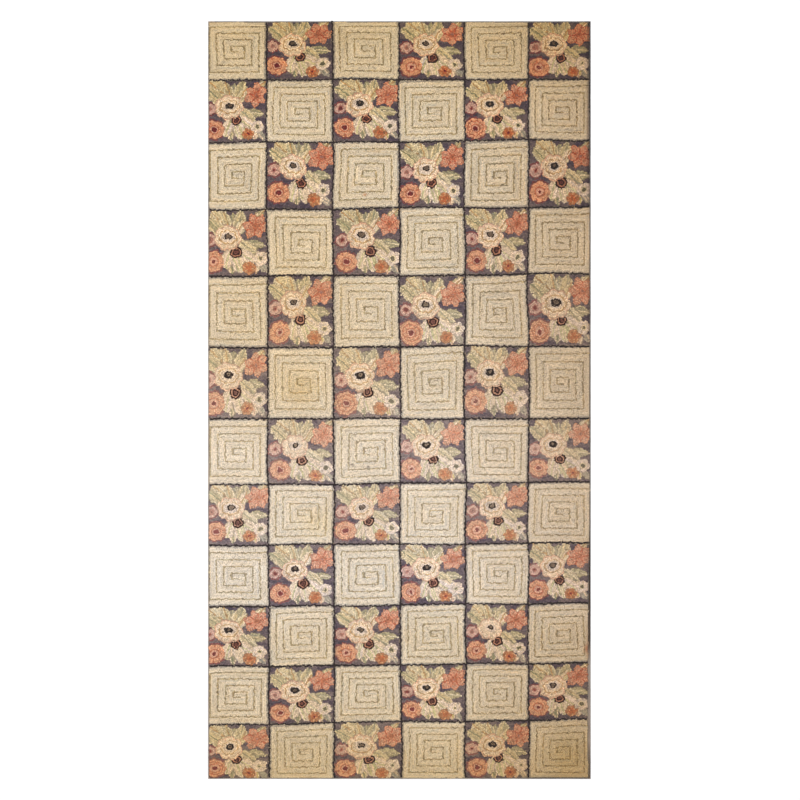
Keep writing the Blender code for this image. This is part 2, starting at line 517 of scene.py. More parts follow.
# The flower block from its lowest layer to its highest: u to the right and v
# down, in shares of the block.
BOUQUET: dict[str, Motif] = {
    "back_leaf": Leaf(
        (0.46, 0.30), (0.11, 0.03), 0.170,
        Yarn.OLIVE_BEIGE, Yarn.PALE_OLIVE, Yarn.PALE_OLIVE, Yarn.OCHRE_TAUPE,
        bend=-0.01, fullness=1.15, bluntness=0.5, teeth=5,
    ),
    "side_leaf": Leaf(
        (0.33, 0.40), (0.03, 0.13), 0.118,
        Yarn.OLIVE_BEIGE, Yarn.SOFT_SAGE, Yarn.PALE_OLIVE, Yarn.SAGE_DEEP,
        bend=0.02, fullness=1.1, bluntness=0.55, teeth=4,
    ),
    "middle_leaf": Leaf(
        (0.46, 0.34), (0.485, 0.05), 0.100,
        Yarn.SAGE, Yarn.GREY_GREEN, Yarn.SAGE, Yarn.SOFT_SAGE,
        bluntness=0.7,
    ),
    "upper_leaf": Leaf(
        (0.41, 0.30), (0.335, 0.02), 0.072,
        Yarn.OLIVE_BEIGE, Yarn.SOFT_SAGE, Yarn.PALE_OLIVE, Yarn.OCHRE_TAUPE,
        bend=0.01, bluntness=0.7,
    ),
    "tall_leaf": Leaf(
        (0.53, 0.34), (0.620, 0.012), 0.104,
        Yarn.OLIVE_BEIGE, Yarn.SOFT_SAGE, Yarn.PALE_OLIVE, Yarn.SAGE,
        bend=0.01, bluntness=0.7,
    ),
    "short_leaf": Leaf(
        (0.52, 0.37), (0.66, 0.14), 0.076,
        Yarn.PETAL_CREAM, Yarn.OLIVE_BEIGE, Yarn.PALE_OLIVE, Yarn.OCHRE_TAUPE,
        bluntness=0.6,
    ),
    "corner_leaf": Leaf(
        (0.80, 0.17), (0.955, 0.030), 0.062,
        Yarn.OLIVE_BEIGE, Yarn.PETAL_CREAM, Yarn.SOFT_SAGE, Yarn.OCHRE_TAUPE,
        bluntness=0.6,
    ),
    "right_leaf": Leaf(
        (0.60, 0.525), (0.965, 0.545), 0.068,
        Yarn.SOFT_SAGE, Yarn.SAGE, Yarn.SOFT_SAGE, Yarn.PALE_OLIVE,
        bend=-0.02, fullness=1.1, bluntness=0.7,
    ),
    "low_right_leaf": Leaf(
        (0.56, 0.46), (0.83, 0.69), 0.084,
        Yarn.OLIVE_BEIGE, Yarn.PALE_OLIVE, Yarn.PALE_OLIVE, Yarn.SAGE,
        bluntness=0.6,
    ),
    "stem_leaf": Leaf(
        (0.43, 0.74), (0.45, 0.975), 0.064,
        Yarn.SAGE, Yarn.OLIVE_BEIGE, Yarn.BLOOM_CREAM, Yarn.SAGE_DEEP,
        bluntness=0.7,
    ),
    "foot_leaf": Leaf(
        (0.86, 0.82), (0.96, 0.965), 0.054,
        Yarn.GREY_GREEN, Yarn.BLOOM_CREAM, Yarn.GREY_CREAM, Yarn.GREY_CREAM,
    ),
    "bud": Leaf(
        (0.80, 0.82), (0.80, 0.965), 0.050,
        Yarn.PETAL_CREAM, Yarn.YELLOW_GREEN, Yarn.BLOOM_CREAM, Yarn.PETAL_PEACH,
        fullness=1.1, bluntness=0.6,
    ),
    "bloom_right": Leaf(
        (0.52, 0.59), (0.80, 0.80), 0.108,
        Yarn.BLOOM_CREAM, Yarn.PETAL_WHITE, Yarn.BLOOM_CREAM, Yarn.BLOOM_GREEN,
        bend=0.01, fullness=1.2, bluntness=0.5,
    ),
    "bloom_left": Leaf(
        (0.46, 0.58), (0.36, 0.90), 0.090,
        Yarn.BLOOM_CREAM, Yarn.PETAL_WHITE, Yarn.BLOOM_CREAM, Yarn.BLOOM_GREEN,
        bend=0.02, fullness=1.1, bluntness=0.5,
    ),
    "bloom_middle": Leaf(
        (0.50, 0.64), (0.60, 0.94), 0.100,
        Yarn.BLOOM_CREAM, Yarn.BLOOM_GREEN, Yarn.PETAL_WHITE, Yarn.BLOOM_CREAM,
        bend=-0.01, fullness=1.2, bluntness=0.5,
    ),
    "bloom_heart": Flower(
        0.510, 0.634, 0.084, 5, 0.10,
        rings(
            (0.30, Yarn.ROSE_BROWN), (0.56, Yarn.DARK_BROWN), (0.76, Yarn.RUST_PINK), (1.0, Yarn.DARK_BROWN)
        ),
        loop_size=1.2, lift=0.3 * MM,
    ),
    "coral_flower": Flower(
        0.822, 0.250, 0.204, 6, 0.34,
        rings(
            (0.12, Yarn.DUSTY_ROSE), (0.30, Yarn.SALMON_DEEP), (0.66, Yarn.CORAL), (0.86, Yarn.CORAL_LIGHT),
            (1.0, Yarn.CORAL),
        ),
        shape=Petals.STAR, turn=0.25, crease=Yarn.RUST, crease_from=0.30, crease_width=0.24,
    ),
    "pink_flower": Flower(
        0.108, 0.462, 0.092, 6, 0.12,
        rings((0.26, Yarn.MAROON), (0.48, Yarn.DUSTY_ROSE), (1.0, Yarn.DUSTY_PINK)),
        turn=0.4, outline=Yarn.PLUM,
    ),
    "salmon_flower": Flower(
        0.172, 0.785, 0.156, 8, 0.07,
        rings(
            (0.22, Yarn.MAROON), (0.40, Yarn.SALMON_LIGHT), (0.50, Yarn.SALMON_DEEP), (0.72, Yarn.SALMON),
            (0.80, Yarn.SALMON_DEEP), (1.0, Yarn.SALMON),
        ),
        crease=Yarn.SALMON_DEEP, crease_from=0.55, crease_width=0.14, outline=Yarn.PLUM,
    ),
    "orange_flower": Flower(
        0.700, 0.868, 0.098, 6, 0.14,
        rings((0.14, Yarn.MAROON), (0.54, Yarn.RUST_ORANGE), (1.0, Yarn.ORANGE)),
        crease=Yarn.APRICOT, crease_from=0.5, crease_width=0.3,
    ),
    "white_flower": Flower(
        0.860, 0.745, 0.110, 5, 0.20,
        rings((0.26, Yarn.DARK_GREEN), (0.42, Yarn.PALE_OLIVE), (1.0, Yarn.PETAL_WHITE)),
        turn=0.3, crease=Yarn.BLOOM_CREAM, crease_from=0.45,
    ),
    "big_flower": Flower(
        0.395, 0.42, 0.208, 7, 0.14,
        rings(
            (0.15, Yarn.GREY_BROWN), (0.28, Yarn.CHARCOAL), (0.42, Yarn.PETAL_WHITE),
            (0.58, Yarn.PETAL_CREAM), (0.66, Yarn.OCHRE_TAUPE), (0.90, Yarn.PETAL_CREAM),
            (1.0, Yarn.PETAL_PEACH),
        ),
        crease=Yarn.PETAL_PEACH, crease_from=0.70, crease_width=0.16, oval=0.14, eye=(0.012, -0.035),
        lift=0.3 * MM,
    ),
}

# How far a motif comes out differently from block to block: block units,
# radians and shares of its own size.
FLOWER_SHIFT = 0.006
FLOWER_TURN = 0.18
FLOWER_RESIZE = 0.035
LEAF_SHIFT = 0.007
LEAF_RESIZE = 0.05


def varied(motif: Motif, shift: np.ndarray, rng: np.random.Generator) -> Motif:
    """The same motif as it comes out in one block: a little moved, turned and resized by hand.

    Args:
        motif: The motif as drawn.
        shift: How far the whole bouquet is off its place in this block.
        rng: Source of the small differences.

    Returns:
        The motif of this block.
    """
    if isinstance(motif, Flower):
        return replace(
            motif,
            u=motif.u + shift[0] + rng.normal(0, FLOWER_SHIFT),
            v=motif.v + shift[1] + rng.normal(0, FLOWER_SHIFT),
            radius=motif.radius * (1 + rng.normal(0, FLOWER_RESIZE)),
            turn=motif.turn + rng.normal(0, FLOWER_TURN),
        )
    nudge = rng.normal(0, LEAF_SHIFT, 4) + np.tile(shift, 2)
    return replace(
        motif,
        base=(motif.base[0] + nudge[0], motif.base[1] + nudge[1]),
        tip=(motif.tip[0] + nudge[2], motif.tip[1] + nudge[3]),
        half_width=motif.half_width * (1 + rng.normal(0, LEAF_RESIZE)),
    )


# ---------------------------------------------------------------- the plan


@dataclass(frozen=True)
class DarkLine:
    """A dark hooked line between blocks, in mm.

    It is given by its distance from the top or left, halfway along, and by its lean: how much further it
    lies at the right or bottom end than at the other one.
    """

    at: float
    lean: float


ROW_LINES = (
    DarkLine(279, -5), DarkLine(576, -12), DarkLine(894, -17), DarkLine(1216, -12), DarkLine(1557, -7),
    DarkLine(1901, -5), DarkLine(2211, -12), DarkLine(2500, -12), DarkLine(2793, -19), DarkLine(3077, -19),
    DarkLine(3352, -26),
)
COLUMN_LINES = (
    DarkLine(286, 14), DarkLine(600, 10), DarkLine(918, 10), DarkLine(1229, 7), DarkLine(1532, 0),
)


class Edge:
    """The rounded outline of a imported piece, read from its solid: how far each side reaches, all along it."""

    corner = 10 * MM
    beside_corner = 1.5 * MM
    level = 0.1 * MM
    least = MM * MM  # stands for no distance at all, where one is divided by

    def __init__(self, node: str) -> None:
        """Reads the outline at the height where the solid is widest.

        Args:
            node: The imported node's name.
        """
        points = np.array([v.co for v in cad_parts[node].data.vertices])
        widest = points[points[:, 0].argmax(), 2]
        points = points[np.abs(points[:, 2] - widest) < self.level]
        self.low, self.high = points.min(0), points.max(0)
        self.left = self.side(points, 1, 0, -1)
        self.right = self.side(points, 1, 0, 1)
        self.bottom = self.side(points, 0, 1, -1)
        self.top = self.side(points, 0, 1, 1)

    def side(self, points: np.ndarray, along: int, out: int, sign: int) -> tuple[np.ndarray, np.ndarray]:
        """Sorted places along a side, clear of the corners, and the reach at each.

        Args:
            points: The outline's points.
            along: Axis that runs along the side.
            out: Axis that points out of it.
            sign: Whether the side lies at the high end of that axis, 1, or the low end, -1.

        Returns:
            Places along the side and the reach at each.
        """
        clear = self.corner + self.beside_corner
        near = points[:, out] * sign > (points[:, out] * sign).max() - 3 * self.corner
        after = points[:, along] > self.low[along] + clear
        before = points[:, along] < self.high[along] - clear
        found = points[near & after & before]
        found = found[np.argsort(found[:, along])]
        return found[:, along], found[:, out]

    def from_core(self, plan: np.ndarray) -> tuple[np.ndarray, np.ndarray]:
        """Finds the core, which is the outline less its corner radius all round.

        Args:
            plan: (n, 2) places.

        Returns:
            The nearest place of the core to each, and the way from there to it.
        """
        left, right = np.interp(plan[:, 1], *self.left), np.interp(plan[:, 1], *self.right)
        bottom, top = np.interp(plan[:, 0], *self.bottom), np.interp(plan[:, 0], *self.top)
        x = np.clip(plan[:, 0], left + self.corner, right - self.corner)
        y = np.clip(plan[:, 1], bottom + self.corner, top - self.corner)
        core = np.stack([x, y], axis=1)
        return core, plan - core

    def margin(self, plan: np.ndarray) -> np.ndarray:
        """Distance of places inside the outline; negative outside.

        Args:
            plan: (n, 2) places.

        Returns:
            The distance of each.
        """
        x, y = plan[:, 0], plan[:, 1]
        deep = np.minimum.reduce([
            x - np.interp(y, *self.left), np.interp(y, *self.right) - x,
            y - np.interp(x, *self.bottom), np.interp(x, *self.top) - y,
        ])
        away = np.hypot(*self.from_core(plan)[1].T)
        return np.where(away > 0, self.corner - away, deep)

    def pulled_in(self, plan: np.ndarray, inset: float) -> np.ndarray:
        """Moves places that lie nearer the outline than an inset, or outside it, to that inset.

        Args:
            plan: (n, 2) places.
            inset: Least distance inside the outline.

        Returns:
            (n, 2) places.
        """
        core, way = self.from_core(plan)
        away = np.maximum(np.hypot(*way.T), self.least)
        return core + way * np.minimum(1.0, (self.corner - inset) / away)[:, None]


@dataclass
class Plan:
    """Where the blocks lie: the lines between them, and how the hooking wanders off the straight.

    The outer blocks would run a little beyond the rug, and are cut off at its edge. The wander is in long
    waves and the wobble of the hand in short ones, both still near the rug's sides.
    """

    width: float
    length: float
    beyond_left: float = 26 * MM
    beyond_right: float = 4 * MM
    beyond_ends: float = 4 * MM
    wander: float = 2.4 * MM
    wobble: float = 1.6 * MM
    waves: int = 7
    short_waves: int = 21
    wander_lengths: tuple[float, float] = (0.22, 0.75)
    wobble_lengths: tuple[float, float] = (0.012, 0.040)
    still_rim: float = 0.05
    spare: float = 0.06

    def __post_init__(self) -> None:
        """Draws the long waves of the wander and the short ones of the hand's wobble."""
        rng = np.random.default_rng(SEED)
        long = rng.uniform(*self.wander_lengths, (2, self.waves))
        short = rng.uniform(*self.wobble_lengths, (2, self.short_waves))
        self.wave_length = np.concatenate([long, short], axis=1)
        self.wave_turn = rng.uniform(0, 2 * math.pi, self.wave_length.shape)
        self.wave_start = rng.uniform(0, 2 * math.pi, self.wave_length.shape)
        self.wave_height = np.concatenate([
            np.full(self.waves, self.wander / math.sqrt(self.waves)),
            np.full(self.short_waves, self.wobble / math.sqrt(self.short_waves)),
        ]) * math.sqrt(2)

    @property
    def rows(self) -> int:
        """Number of block rows."""
        return len(ROW_LINES) + 1

    @property
    def columns(self) -> int:
        """Number of block columns."""
        return len(COLUMN_LINES) + 1

    def across(self, line: int, y: np.ndarray | float) -> np.ndarray | float:
        """Where a column line lies.

        Args:
            line: Its number. Line 0 is the rug's left side.
            y: One place or more along it.

        Returns:
            Its x at each y.
        """
        if line == 0:
            return -self.width / 2 - self.beyond_left
        if line == self.columns:
            return self.width / 2 + self.beyond_right
        dark = COLUMN_LINES[line - 1]
        return -self.width / 2 + (dark.at - dark.lean * y / self.length) * MM

    def down(self, line: int, x: np.ndarray | float) -> np.ndarray | float:
        """Where a row line lies.

        Args:
            line: Its number. Line 0 is the rug's top.
            x: One place or more along it.

        Returns:
            Its y at each x.
        """
        if line == 0:
            return self.length / 2 + self.beyond_ends
        if line == self.rows:
            return -self.length / 2 - self.beyond_ends
        dark = ROW_LINES[line - 1]
        return self.length / 2 - (dark.at + dark.lean * x / self.width) * MM

    def crossing(self, row: int, column: int) -> np.ndarray:
        """Where a row line and a column line cross, found in two steps.

        Args:
            row: The row line's number.
            column: The column line's number.

        Returns:
            x and y.
        """
        y = self.down(row, 0.0)
        x = self.across(column, y)
        y = self.down(row, x)
        return np.array([self.across(column, y), y])

    def wandered(self, plan: np.ndarray) -> np.ndarray:
        """Moves places by the sum of the long and short waves, which fades out at the rug's sides.

        Args:
            plan: (n, 2) places on the rug.

        Returns:
            (n, 2) places.
        """
        moved = plan.copy()
        for axis in range(2):
            turn, long = self.wave_turn[axis], self.wave_length[axis]
            run = plan[:, :1] * np.cos(turn) + plan[:, 1:] * np.sin(turn)
            phase = run * 2 * math.pi / long + self.wave_start[axis]
            moved[:, axis] += (self.wave_height * np.sin(phase)).sum(1)
        inside = np.minimum(self.width / 2 - np.abs(plan[:, 0]), self.length / 2 - np.abs(plan[:, 1]))
        return plan + (moved - plan) * smooth(0.0, self.still_rim, inside)[:, None]

    def placed(self, row: int, column: int, place: np.ndarray) -> np.ndarray:
        """Block places as rug places: bilinear between the block's four corners, then wandered.

        Args:
            row: The block's row.
            column: The block's column.
            place: (n, 2) places in block units.

        Returns:
            (n, 2) places on the rug.
        """
        u, v = place[:, :1], place[:, 1:]
        north_west, north_east = self.crossing(row, column), self.crossing(row, column + 1)
        south_west, south_east = self.crossing(row + 1, column), self.crossing(row + 1, column + 1)
        north = north_west + (north_east - north_west) * u
        south = south_west + (south_east - south_west) * u
        return self.wandered(north + (south - north) * v)

    def inner_part(self, row: int, column: int, place: np.ndarray, gap: float) -> np.ndarray:
        """Finds the places between a block's dark lines. A side at the rug's edge has no line.

        Args:
            row: The block's row.
            column: The block's column.
            place: (n, 2) places in block units.
            gap: Room left beside a line.

        Returns:
            Whether each place is kept.
        """
        u, v = place[:, 0], place[:, 1]
        low_u = gap if column > 0 else -self.spare
        high_u = 1 - gap if column < self.columns - 1 else 1 + self.spare
        low_v = gap if row > 0 else -self.spare
        high_v = 1 - gap if row < self.rows - 1 else 1 + self.spare
        return (u > low_u) & (u < high_u) & (v > low_v) & (v < high_v)


@dataclass(frozen=True)
class Stain:
    """A soft-edged mark on the pile.

    It has a place in metres from the rug's top left corner, a half size across and along, and the share of
    red, green and blue that it takes.
    """

    right: float
    down: float
    reach: tuple[float, float]
    taken: tuple[float, float, float]


STAINS = (
    Stain(0.36, 1.38, (0.42, 0.55), (0.0, 0.025, 0.085)),
    Stain(0.44, 1.76, (0.10, 0.08), (0.02, 0.05, 0.13)),
    Stain(0.52, 2.40, (0.09, 0.07), (0.01, 0.03, 0.09)),
    Stain(1.72, 3.52, (0.10, 0.12), (0.04, 0.06, 0.14)),
    Stain(0.75, 0.83, (0.008, 0.006), (0.10, 0.28, 0.40)),
    Stain(0.690, 2.122, (0.006, 0.005), (0.44, 0.46, 0.48)),
    Stain(0.765, 2.131, (0.006, 0.005), (0.44, 0.46, 0.46)),
    Stain(0.342, 2.313, (0.006, 0.005), (0.30, 0.28, 0.28)),
    Stain(0.14, 2.94, (0.005, 0.012), (0.20, 0.24, 0.28)),
    Stain(1.81, 3.00, (0.012, 0.020), (0.10, 0.26, 0.34)),
    # These darken narrow bands along the right side and the bottom end.
    Stain(1.822, 0.20, (0.011, 0.26), (0.36, 0.37, 0.34)),
    Stain(1.822, 0.62, (0.011, 0.26), (0.34, 0.36, 0.32)),
    Stain(1.822, 1.35, (0.009, 0.22), (0.16, 0.18, 0.18)),
    Stain(1.822, 2.62, (0.010, 0.16), (0.26, 0.27, 0.27)),
    Stain(1.822, 2.98, (0.011, 0.10), (0.24, 0.33, 0.38)),
    Stain(1.822, 3.59, (0.007, 0.016), (0.30, 0.32, 0.34)),
    Stain(1.68, 3.622, (0.16, 0.010), (0.22, 0.22, 0.24)),
)


@dataclass(frozen=True)
class Wear:
    """How the tones differ over the rug: darker and yellower towards both ends, darker towards the right side,
    a faded middle, a few stains and narrow darker bands along the right side and the bottom end.
    """

    # how much darker and yellower the tones grow towards both ends
    darker_yellower_by_distance: tuple[tuple[float, float], ...] = (
        (0.0, 1.15), (0.14, 1.0), (0.43, 0.62), (0.74, 0.49), (1.06, 0.46), (1.39, 0.34), (1.73, 0.34),
        (1.90, 0.2), (2.06, 0.07), (2.36, 0.13), (2.65, 0.0), (2.80, 0.15), (2.94, 0.43), (3.22, 0.5),
        (3.36, 0.7), (3.49, 0.97), (3.62, 1.15),
    )
    darker_yellower_share: tuple[float, float, float] = (0.10, 0.15, 0.26)
    # how much darker the tones grow towards the right side
    grime_by_right: tuple[tuple[float, float], ...] = (
        (0.22, 0.0), (0.465, 0.40), (0.766, 0.80), (0.915, 1.0),
    )
    right_darkening: tuple[float, float, float] = (0.11, 0.15, 0.20)
    fade_by_distance: tuple[tuple[float, float], ...] = (
        (0.0, 0.0), (0.3, 0.0), (0.9, 0.10), (1.3, 0.5), (1.9, 0.85), (2.35, 0.75), (2.7, 0.40), (3.2, 0.30),
        (3.49, 0.55), (3.62, 0.45),
    )
    faded_to: str = "#e6d2bc"
    fast_dyes: tuple[float, float] = (0.14, 0.44)  # darker than the first, a dye hasn't faded at all
    fade_share: float = 0.42

    def worn(
        self, tone: np.ndarray, plan: np.ndarray, size: tuple[float, float], fading: float
    ) -> np.ndarray:
        """Yarn tones faded and stained, darker and yellower towards both ends and darker towards the right
        side.

        Args:
            tone: (n, 3) sRGB tones.
            plan: (n, 2) places on the rug.
            size: The rug's width and length.
            fading: How much of the fading these dyes show: 1 for the flowers', 0 for fast ones.

        Returns:
            (n, 3) sRGB tones.
        """
        distance = size[1] / 2 - plan[:, 1]
        fade = np.interp(distance, *zip(*self.fade_by_distance)) * self.fade_share * fading
        fade = fade * smooth(*self.fast_dyes, tone.max(1))
        tone = tone + (srgb(self.faded_to) - tone) * fade[:, None]
        # darker and yellower towards both ends, darker towards the right side
        ends_darker_yellower = np.interp(distance, *zip(*self.darker_yellower_by_distance))
        right_darkening = np.interp(plan[:, 0], *zip(*self.grime_by_right))
        tone = tone * (1 - ends_darker_yellower[:, None] * np.array(self.darker_yellower_share))
        tone = tone * (1 - right_darkening[:, None] * np.array(self.right_darkening))
        for stain in STAINS:
            across = (plan[:, 0] + size[0] / 2 - stain.right) / stain.reach[0]
            along = (distance - stain.down) / stain.reach[1]
            strength = np.exp(-(across**2 + along**2))
            tone = tone * (1 - strength[:, None] * np.array(stain.taken))
        return tone


# ---------------------------------------------------------------- loops in space


@dataclass(frozen=True)
class LoopShape:
    """One pulled-up loop as a small cushion: half length along its row, half width, foot and tip heights.

    Each spread is how much loops differ, as a standard deviation. The foot and tip factors multiply the yarn's
    colour: painted shade at the four feet and a painted highlight at the tip.
    """

    along: float = 5.1 * MM
    across: float = 4.4 * MM
    foot: float = 3.0 * MM
    tip: float = 7.7 * MM
    height_spread: float = 0.30 * MM
    place_spread: float = 0.50 * MM
    lean_spread: float = 0.6 * MM
    turn_spread: float = 0.09
    size_spread: float = 0.05
    tone_spread: float = 0.024
    hue_spread: float = 0.003
    # painted shade at the feet and a painted highlight at the tip
    foot_painted_shade: float = 0.42
    tip_painted_highlight: float = 1.22

    def cushions(
        self, foot: np.ndarray, ahead: np.ndarray, side: np.ndarray, tip: np.ndarray, scale: np.ndarray
    ) -> tuple[np.ndarray, np.ndarray]:
        """Points and faces of four-sided cushions.

        Each has four feet at plus and minus its half length ahead and half width to the side, and one tip.

        Args:
            foot: (n, 3) middles of the feet.
            ahead: (n, 3) unit vectors along the row.
            side: (n, 3) unit vectors to the left of it.
            tip: (n, 3) tops.
            scale: (n,) size of each loop.

        Returns:
            (5n, 3) points and (4n, 3) faces, facing out.
        """
        long = ahead * (self.along * scale)[:, None]
        wide = side * (self.across * scale)[:, None]
        corners = [foot + long + wide, foot - long + wide, foot - long - wide, foot + long - wide]
        points = np.stack([*corners, tip], axis=1)
        first = 5 * np.arange(len(foot))[:, None, None]
        pattern = np.array([[0, 1, 4], [1, 2, 4], [2, 3, 4], [3, 0, 4]])[None]
        return points.reshape(-1, 3), (first + pattern).reshape(-1, 3)


WOOL_LOOP = LoopShape()
LINE_LOOP = LoopShape(across=5.2 * MM, place_spread=1.2 * MM, tone_spread=0.16)
EDGE_LOOP = LoopShape(across=1.9 * MM)


@dataclass
class PulledLoops:
    """Loops in their final places on the rug, with their worn tones."""

    plan: np.ndarray
    ahead: np.ndarray
    tone: np.ndarray
    lift: np.ndarray
    size: np.ndarray

    def kept(self, mask: np.ndarray) -> "PulledLoops":
        """The loops where the mask is true."""
        return PulledLoops(*(getattr(self, part.name)[mask] for part in fields(self)))


SWELL = 0.25 * MM
SWELL_WAVES = ((23, 7, 0.0), (-11, 31, 1.3))  # radians per metre across and along, and the start


def pile_swell(plan: np.ndarray) -> np.ndarray:
    """Gentle rise and fall of the pile: SWELL times the mean of crossing sine waves."""
    waves = [np.sin(across * plan[:, 0] + along * plan[:, 1] + start) for across, along, start in SWELL_WAVES]
    return SWELL * sum(waves) / len(waves)


def pile_piece(
    loops: PulledLoops, shape: LoopShape, rng: np.random.Generator
) -> tuple[np.ndarray, np.ndarray, np.ndarray]:
    """Makes standing loops, each a little out of place, height and tone.

    A loop's feet are darker than its tip: painted shade at the feet, where little light gets down between
    crowded loops, and a painted highlight at the tip.

    Args:
        loops: Where the loops stand, and their tones.
        shape: Their shape, and how much they differ.
        rng: Source of the differences.

    Returns:
        Points, faces and linear colours.
    """
    count = len(loops.plan)
    turn = rng.normal(0, shape.turn_spread, count)
    left = loops.ahead[:, ::-1] * np.array([-1, 1])
    ahead = loops.ahead * np.cos(turn)[:, None] + left * np.sin(turn)[:, None]
    plan = loops.plan + rng.normal(0, shape.place_spread, (count, 2))
    foot = np.column_stack([plan, np.full(count, shape.foot)])
    height = shape.tip + pile_swell(plan) + loops.lift + rng.normal(0, shape.height_spread, count)
    tip = np.column_stack([plan + rng.normal(0, shape.lean_spread, (count, 2)), height])
    flat_ahead = np.column_stack([ahead, np.zeros(count)])
    flat_side = np.column_stack([-ahead[:, 1], ahead[:, 0], np.zeros(count)])
    size = loops.size * (1 + rng.normal(0, shape.size_spread, count))
    points, faces = shape.cushions(foot, flat_ahead, flat_side, tip, size)
    tone = loops.tone * (1 + rng.normal(0, shape.tone_spread, (count, 1)))
    tone = tone + rng.normal(0, shape.hue_spread, (count, 3))
    # painted shade on the four feet, painted highlight on the tip
    light = np.array([shape.foot_painted_shade] * 4 + [shape.tip_painted_highlight])
    return points, faces, (linear(tone)[:, None, :] * light[None, :, None]).reshape(-1, 3)


class ToneMap:
    """Mean tone of the loops in each small square of the rug, for what lies between and under them."""

    def __init__(self, loops: list[PulledLoops], cell: float, size: tuple[float, float]) -> None:
        """Adds up the loops.

        Args:
            loops: All the loops of the rug.
            cell: Side of a square in metres.
            size: The rug's width and length.
        """
        self.cell = cell
        self.size = np.array(size)
        self.shape = np.ceil(self.size / cell).astype(int) + 1
        total = np.zeros((*self.shape, 3))
        count = np.zeros((*self.shape, 1))
        for part in loops:
            i, j = self.index(part.plan)
            np.add.at(total, (i, j), part.tone)
            np.add.at(count, (i, j), 1.0)
        mean = total.sum((0, 1)) / count.sum()
        self.tone = np.where(count > 0, total / np.maximum(count, 1), mean)

    def index(self, plan: np.ndarray) -> tuple[np.ndarray, np.ndarray]:
        """Numbers of the squares that hold these places."""
        square = np.clip(((plan + self.size / 2) / self.cell).astype(int), 0, self.shape - 1)
        return square[:, 0], square[:, 1]

    def at(self, plan: np.ndarray) -> np.ndarray:
        """The tone at each place."""
        return self.tone[self.index(plan)]


# ---------------------------------------------------------------- blocks


@dataclass
class SpiralBlock:
    """A cream block with one taupe row that winds out in a square spiral.

    The core's sides are at fixed shares of the block, and each turn lies ROWS_PER_TURN rows further out.
    """

    row: int
    column: int
    left: float = 0.448
    right: float = 0.660
    top: float = 0.447
    bottom: float = 0.540
    turns: int = 3
    start: float = 0.56
    most_rows: int = 28
    slope: float = 0.018
    grey_rim: float = 1.7 * ROW
    stagger: float = 0.25
    line_size: float = 1.24
    fading: float = 0.6
    line_spread: float = 0.10
    line_jitter: float = 0.0042
    looseness: float = 0.007

    @property
    def name(self) -> str:
        """The piece's name."""
        return f"spiral_block_r{self.row + 1:02d}_c{self.column + 1}"

    def run(
        self,
        rng: np.random.Generator,
        number: int,
        low: float,
        high: float,
        at: float,
        upright: bool,
        dark: bool,
    ) -> Loops:
        """One straight row of loops.

        Args:
            rng: Source of the change from strip to strip.
            number: The row's number, which staggers its loops.
            low: Where it starts.
            high: Where it ends.
            at: Its place across.
            upright: Whether it runs down the block rather than across it.
            dark: Whether it is part of the spiral line.

        Returns:
            The row's loops.
        """
        count = max(1, round((high - low) / STITCH))
        along = low + (high - low) * (np.arange(count) + 0.5 + self.stagger * (number % 2)) / count
        level = at + (rng.normal(0, self.line_jitter, count) if dark else np.zeros(count))
        place = np.stack([level, along] if upright else [along, level], axis=1)
        tone = np.tile((Yarn.TAUPE if dark else Yarn.CREAM).tone(), (count, 1))
        if dark:
            tone *= 1 + rng.normal(0, self.line_spread, (count, 1))
        heading = np.array([0.0, 1.0] if upright else [1.0, 0.0])
        return loops_of(place, heading, by_strip(tone, rng), size=self.line_size if dark else 1.0)

    def loops(self, rng: np.random.Generator) -> Loops:
        """The four sectors of rows round the core, each row one further out, and the rows inside the core.

        Args:
            rng: Source of the core's shift, the lean and the rows' differences.

        Returns:
            The block's loops.
        """
        parts = []
        last = ROWS_PER_TURN * self.turns
        shift_u, shift_v = rng.normal(0, self.looseness, 2)
        core_left, core_right = self.left + shift_u, self.right + shift_u
        core_top, core_bottom = self.top + shift_v, self.bottom + shift_v
        for number in range(self.most_rows):
            out = number * ROW
            winds = number % ROWS_PER_TURN == 0 and number <= last
            left, right = core_left - out, core_right + out
            top, bottom = core_top - out, core_bottom + out
            next_bottom = bottom + ROWS_PER_TURN * ROW
            last_right = core_right + out - ROWS_PER_TURN * ROW
            parts.append(self.run(rng, number, top, bottom, left, True, winds))
            parts.append(self.run(rng, number, left, right, top, False, winds))
            parts.append(self.run(rng, number, top, next_bottom, right, True, winds and number < last))
            if number == 0:
                parts.append(self.run(rng, number, left, self.start, bottom, False, True))
                parts.append(self.run(rng, number, self.start, core_right - ROW, bottom, False, False))
            else:
                end = max(last_right, core_right - ROW)
                parts.append(self.run(rng, number, left, end, bottom, False, winds))
        inner = round((core_bottom - core_top) / ROW)
        for number in range(1, inner):
            at = core_top + (core_bottom - core_top) * number / inner
            parts.append(self.run(rng, number, core_left + ROW, core_right - ROW, at, False, False))
        found = Loops.joined(parts)
        rim = np.minimum(found.place, 1 - found.place).min(1)
        on_rim = (rim > 0) & (rim < self.grey_rim)
        found.tone[on_rim] *= Yarn.GREY_CREAM.tone() / Yarn.CREAM.tone()
        slope = rng.normal(self.slope, self.slope / 4)
        found.place[:, 1] -= slope * (found.place[:, 0] - 0.5) * (1 - found.place[:, 1]) ** 2
        return found


